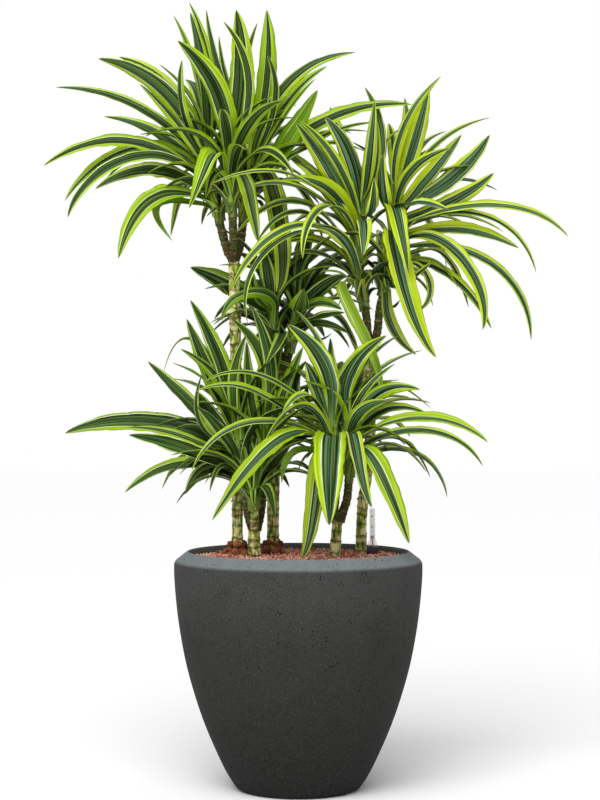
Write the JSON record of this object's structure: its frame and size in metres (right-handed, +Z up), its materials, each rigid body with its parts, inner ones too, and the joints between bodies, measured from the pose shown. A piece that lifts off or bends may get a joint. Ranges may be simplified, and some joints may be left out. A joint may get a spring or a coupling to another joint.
{
  "type": "potted dracaena",
  "caption": "Cane dracaena with heads of long striped leaves, standing in granulate in a round stone-look planter with a water gauge.",
  "frame": {"origin": "centre of the planter's flat base", "axes": "+Z up along the planter's axis, +X to the right and -Y towards the viewer of the front"},
  "size_m": [0.9246, 0.5382, 1.385],
  "materials": {
    "planter": "matt, finely pitted, charcoal",
    "granulate": "rough baked clay grains",
    "pebbles": "rough baked clay balls",
    "cane": "matt bark with ring scars",
    "leaf": "satin leaf, striped lime and dark green",
    "gauge_body": "satin black",
    "gauge_glass": "clear",
    "gauge_float": "satin red"
  },
  "bodies": {
    "planter": {"pot": "planter", "granulate": "granulate", "pebbles": "pebbles", "cane_a": "cane", "cane_b": "cane", "cane_c": "cane", "cane_d": "cane", "cane_e": "cane", "leaves_a1": "leaf", "leaves_a2": "leaf", "leaves_a3": "leaf", "leaves_b1": "leaf", "leaves_b2": "leaf", "leaves_b3": "leaf", "leaves_c1": "leaf", "leaves_c2": "leaf", "leaves_d": "leaf", "leaves_e1": "leaf", "leaves_e2": "leaf", "gauge_cap": "gauge_body", "gauge_tube": "gauge_glass"},
    "float": {"gauge_float": "gauge_float"}
  },
  "joints": [
    {"name": "gauge_float_slide", "type": "slide", "parent": "planter", "child": "float", "axis": [0, 0, 1], "range_m": [0, 0.038]}
  ]
}
